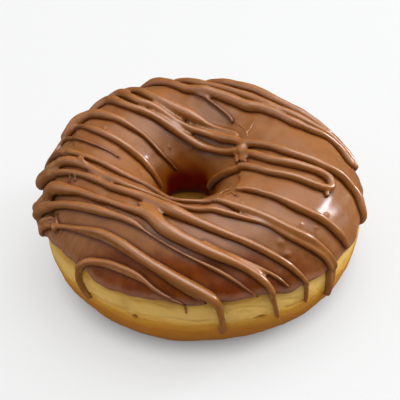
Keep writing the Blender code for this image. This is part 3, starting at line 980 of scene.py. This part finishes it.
# %% A tree of nodes
class Recipe:
    """One node tree, empty at first."""

    def __init__(self, tree):
        self.tree = tree
        tree.nodes.clear()

    def node(self, kind, settings=None, inputs=(), output=0):
        """Adds a node: settings first, then its inputs by name or in order."""
        made = self.tree.nodes.new(kind)
        for name, value in (settings or {}).items():
            if name == "stops":
                ramp = made.color_ramp.elements
                while len(ramp) < len(value):
                    ramp.new(0.5)
                for stop, (place, colour) in zip(ramp, value):
                    stop.position, stop.color = place, colour
            else:
                setattr(made, name, value)
        pairs = inputs.items() if isinstance(inputs, dict) else enumerate(inputs)
        for name, value in pairs:
            if isinstance(value, Wire):
                self.tree.links.new(value.socket, made.inputs[name])
            else:
                made.inputs[name].default_value = value
        return Wire(self, made.outputs[output] if made.outputs else None)

    def mix(self, factor, first, second):
        """From the first colour to the second."""
        return self.node(
            "ShaderNodeMix", {"data_type": "RGBA"}, {0: factor, 6: first, 7: second}, 2,
        )

    def mask(self, name):
        """A number that was stored at the points of the mesh."""
        return self.node("ShaderNodeAttribute", {"attribute_name": name}, (), "Fac")

    def noise(self, scale, detail, roughness=0.55, stretch=(1, 1, 1)):
        """Cloudy chance between 0 and 1, with this many hills a metre."""
        where = self.node("ShaderNodeTexCoord", {}, (), "Object")
        where = self.node("ShaderNodeMapping", {}, {"Vector": where, "Scale": stretch})
        return self.node(
            "ShaderNodeTexNoise", {"normalize": True},
            {"Vector": where, "Scale": scale, "Detail": detail, "Roughness": roughness}, "Fac",
        )

    def bump(self, height, distance):
        """A normal from a height; the distance is in metres."""
        return self.node(
            "ShaderNodeBump", {}, {"Height": height, "Distance": distance, "Strength": 1.0},
        )


def finish(name, piece, surface_of, constants):
    """A material for the piece: what surface_of returns varies, the constants don't."""
    material = bpy.data.materials.new(name)
    material.use_nodes = True
    recipe = Recipe(material.node_tree)
    shader = recipe.node("ShaderNodeBsdfPrincipled", {}, {**constants, **surface_of(recipe)})
    recipe.node("ShaderNodeOutputMaterial", {}, {"Surface": shader})
    piece.data.materials.clear()
    piece.data.materials.append(material)
    print(name, "has", len(material.node_tree.nodes), "nodes")


# %% [markdown]
# ## Chocolate
#
# Milk chocolate is a satin brown that scatters a little light inside, red furthest, so its thin
# edges glow warm. A plain brown with gloss would look like plastic. Subsurface scattering gives
# the softness, and a thin coat gives the shine, stronger on the fresh drizzle than on the glaze.
# Colours are amounts of red, green and blue light, from 0 to 1.

# %% Chocolate drizzle
CHOCOLATE_SCATTER = {
    "Subsurface Weight": 0.5, "Subsurface Scale": 0.0008, "Subsurface Radius": (1.0, 0.25, 0.08),
}
STRAND_LIGHT, STRAND_DARK = (0.245, 0.088, 0.017, 1), (0.205, 0.072, 0.013, 1)
# Painted shade at the foot of every strand, where it meets the glaze.
STRAND_CREASE_SHADE = (0.085, 0.018, 0.001, 1)


def drizzle_surface(recipe):
    cloud = recipe.noise(260, 4)
    fine = recipe.noise(1800, 3)
    colour = recipe.mix(cloud.between(0.3, 0.7), STRAND_LIGHT, STRAND_DARK)
    # painted shade where the strand meets the glaze
    colour = recipe.mix(recipe.mask("crease") * 0.9, colour, STRAND_CREASE_SHADE)
    return {
        "Base Color": colour,
        "Roughness": 0.34 + 0.14 * cloud,
        "Coat Weight": 0.7 + 0.4 * cloud,
        "Normal": recipe.bump(cloud + fine * 0.35, 0.00018),
    }


finish("drizzled_chocolate", drizzle, drizzle_surface,
       {"IOR": 1.46, "Specular IOR Level": 0.15, "Coat Roughness": 0.2, **CHOCOLATE_SCATTER})

# %% [markdown]
# ## Chocolate glaze
#
# The glaze is paler on top, where it set dull, and dark and clear at the front. The dark front is
# partly the glaze's own deeper colour and partly painted shade, where the front turns away from the
# light. Thin and greyish at its rim, it turns orange and then red down in the hole, and that orange
# and red is painted shade: darker and redder where light bounces between the chocolate walls. The
# dent at the back and the foot of every strand get painted shade too. Each of these is one mask
# from the mesh and one colour, mixed in turn.

# %% Chocolate glaze
TOP_LIGHT, TOP_DARK = (0.195, 0.074, 0.020, 1), (0.165, 0.060, 0.016, 1)
# The front's colours: partly the glaze's own deeper colour, partly painted shade.
FRONT_TONE_SHADE_PALE, FRONT_TONE_SHADE_DEEP = (0.160, 0.036, 0.001, 1), (0.100, 0.017, 0.0005, 1)
# Painted shade: in the dent at the back, and on the glaze beside every strand.
DENT_SHADE_COLOUR, CREASE_SHADE_COLOUR = (0.150, 0.062, 0.020, 1), (0.070, 0.013, 0.001, 1)
# Painted shade in the hole: orange on its wall, red further down.
HOLE_SHADE_COLOUR, DEEP_SHADE_COLOUR = (0.165, 0.042, 0.001, 1), (0.085, 0.002, 0.0005, 1)
RIM_COLOUR = (0.215, 0.096, 0.058, 1)


def glaze_surface(recipe):
    cloud = recipe.noise(220, 4)
    fine = recipe.noise(1500, 3)
    from_rim = recipe.mask("from_rim")
    front = recipe.mask("front")
    rim = 1 - (from_rim + (cloud - 0.5) * 4).between(2.5, 9.5)
    top = recipe.mix(cloud.between(0.3, 0.7), TOP_LIGHT, TOP_DARK)
    dark = recipe.mix(cloud.between(0.3, 0.7), FRONT_TONE_SHADE_PALE, FRONT_TONE_SHADE_DEEP)
    # painted shade in the dent
    body = recipe.mix(recipe.mask("dent") * 0.7, top, DENT_SHADE_COLOUR)
    # the dark front, partly its own colour and partly painted shade
    body = recipe.mix((front + (cloud - 0.5) * 0.4).between(0.25, 0.8), body, dark)
    # painted shade in the hole, orange and then red
    body = recipe.mix(recipe.mask("warm") * 0.95, body, HOLE_SHADE_COLOUR)
    body = recipe.mix(recipe.mask("deep"), body, DEEP_SHADE_COLOUR)
    # painted shade on the glaze beside the strands
    body = recipe.mix(recipe.mask("crease") * 0.85, body, CREASE_SHADE_COLOUR)
    return {
        "Base Color": recipe.mix(rim * 0.85, body, RIM_COLOUR),
        "Roughness": 0.32 + 0.16 * cloud,
        "Coat Weight": (0.22 + 0.2 * cloud) * (1 - front * 0.7),
        "Normal": recipe.bump(cloud + fine * 0.3, 0.00022),
    }


finish("dipped_chocolate", glaze, glaze_surface,
       {"IOR": 1.46, "Specular IOR Level": 0.1, "Coat Roughness": 0.2, **CHOCOLATE_SCATTER})

# %% [markdown]
# ## Fried dough
#
# Frying browns what the fat covered, darkest low down, and leaves the band at the middle pale. A
# colour ramp over the tilt gives that, and streaky noise makes its borders uneven, because fat
# never stands quite level. The pits and their rims are a darker brown.

# %% Dough finish
CRUST_STOPS = (  # tilt as a share of half a turn, colour
    (0.43, (0.47, 0.24, 0.036, 1)), (0.465, (0.62, 0.38, 0.090, 1)),
    (0.505, (0.64, 0.40, 0.105, 1)), (0.535, (0.52, 0.25, 0.022, 1)),
    (0.59, (0.40, 0.14, 0.005, 1)), (0.80, (0.28, 0.08, 0.003, 1)),
)
SPOT_COLOUR, PIT_COLOUR = (0.30, 0.14, 0.016, 1), (0.180, 0.050, 0.004, 1)


def dough_surface(recipe):
    tilt = recipe.mask("tilt")
    cloud = recipe.noise(150, 5)
    streak = recipe.noise(170, 5, 0.6, (1, 1, 5))
    fine = recipe.noise(1400, 4, 0.65)
    where = (tilt + (streak - 0.5) * 12) * (1 / 180)
    colour = recipe.node("ShaderNodeValToRGB", {"stops": CRUST_STOPS}, {"Fac": where})
    colour = recipe.mix(cloud.between(0.55, 0.8) * 0.45, colour, SPOT_COLOUR)
    colour = recipe.mix(recipe.mask("pit") * 0.85, colour, PIT_COLOUR)
    return {
        "Base Color": colour,
        "Roughness": 0.42 + 0.2 * fine,
        "Normal": recipe.bump(fine + streak, 0.0003),
    }


finish("fried_dough", dough, dough_surface,
       {"IOR": 1.45, "Specular IOR Level": 0.2, "Subsurface Weight": 0.15,
        "Subsurface Scale": 0.002, "Subsurface Radius": (1.0, 0.55, 0.2)})

# %% [markdown]
# ## Ground
#
# The photograph has a white ground with a faint soft shadow. A white floor under studio light would
# either be too grey or throw too much light back at the dough, so most of its white is a glow of
# its own, which fades out under the ring as a painted contact shadow, and the rest is grey card.
# Mirrors don't see it, because the dark front of the glaze mirrors no white in the photograph.

# %% Ground
HALF_FLOOR = 1.5  # metres
# The glow fades out between these distances, a painted contact shadow under the ring.
GLOW_SHADOW_FADES = (0.030, 0.046)  # metres from the middle of the ring
CORNERS = ((-1, -1), (1, -1), (1, 1), (-1, 1))
floor_corners = [(x * HALF_FLOOR, y * HALF_FLOOR, 0) for x, y in CORNERS]
ground_mesh = bpy.data.meshes.new("pale_floor")
ground_mesh.from_pydata(floor_corners, [], [(0, 1, 2, 3)])
ground = bpy.data.objects.new("pale_floor", ground_mesh)
bpy.context.scene.collection.objects.link(ground)


def ground_surface(recipe):
    grain = recipe.noise(900, 2)
    where = recipe.node("ShaderNodeTexCoord", {}, (), "Object")
    away = recipe.node("ShaderNodeVectorMath", {"operation": "DISTANCE"},
                       (where, (ROUND_MIDDLE[0] * MM, ROUND_MIDDLE[1] * MM, 0)), "Value")
    # painted contact shadow: the glow fades out under the ring
    glow = recipe.mix(away.between(*GLOW_SHADOW_FADES), (0.02, 0.02, 0.02, 1), (1, 1, 1, 1))
    return {
        "Base Color": recipe.mix(grain, (0.160, 0.160, 0.160, 1), (0.180, 0.180, 0.180, 1)),
        "Roughness": 0.85 + 0.1 * grain,
        "Emission Color": glow,
    }


finish("lit_white_card", ground, ground_surface,
       {"Specular IOR Level": 0.2, "Emission Strength": 0.545})
ground.visible_glossy = False

# %% [markdown]
# ## Light
#
# One small soft window at the right gives the clear highlights and the strands' shadows. The rest
# comes from all round: three soft glows of the world, a wide one overhead, a narrow one round the
# window and a weak one at the left. Large lamps could do the same, but their edges would show as
# outlines in the glossy glaze, and a glow has none.

# %% Window
# Azimuths go from the back (+Y) towards the right (+X).
WINDOW = {"azimuth": 74, "elevation": 21, "away": 0.6, "wide": 0.11, "high": 0.09, "watts": 2.2}
DAYLIGHT = (0.88, 0.94, 1.0)


def direction(azimuth, elevation):
    a, e = math.radians(azimuth), math.radians(elevation)
    return Vector((math.sin(a) * math.cos(e), math.cos(a) * math.cos(e), math.sin(e)))


def add_window(azimuth, elevation, away, wide, high, watts):
    light = bpy.data.lights.new("window", "AREA")
    light.shape, light.size, light.size_y, light.energy = "RECTANGLE", wide, high, watts
    light.color = DAYLIGHT
    lamp = bpy.data.objects.new("window", light)
    lamp.location = direction(azimuth, elevation) * away
    lamp.rotation_euler = direction(azimuth, elevation).to_track_quat("Z", "Y").to_euler()
    bpy.context.scene.collection.objects.link(lamp)
    print("window at", [round(v, 2) for v in lamp.location])


add_window(**WINDOW)

# %% Glows
# Each glow: azimuth, elevation, sharpness (a low one makes it wide), strength.
GLOWS = ((74, 72, 5, 6.2), (76, 24, 40, 2.5), (262, 30, 5, 1.4))
GLOOM = 0.08  # light from everywhere


def light_studio(world):
    sky = Recipe(world.node_tree)
    way = sky.node("ShaderNodeTexCoord", {}, (), "Generated")
    total = GLOOM
    for azimuth, elevation, sharpness, strength in GLOWS:
        facing = sky.node("ShaderNodeVectorMath", {"operation": "DOT_PRODUCT"},
                          (way, direction(azimuth, elevation)), "Value")
        lit = facing.math("MAXIMUM", facing, 0.0)
        total = total + lit.math("POWER", lit, sharpness) * strength
    grey = sky.node("ShaderNodeCombineColor", {}, {0: total, 1: total, 2: total})
    sky.node("ShaderNodeOutputWorld", {}, {
        "Surface": sky.node("ShaderNodeBackground", {}, {"Color": grey, "Strength": 1.0})})


world = bpy.data.worlds.new("studio")
world.use_nodes = True
bpy.context.scene.world = world
light_studio(world)
bpy.context.scene.view_settings.view_transform = "Standard"
bpy.context.scene.view_settings.look = "None"
print(len(GLOWS), "glows, view transform", bpy.context.scene.view_settings.view_transform)
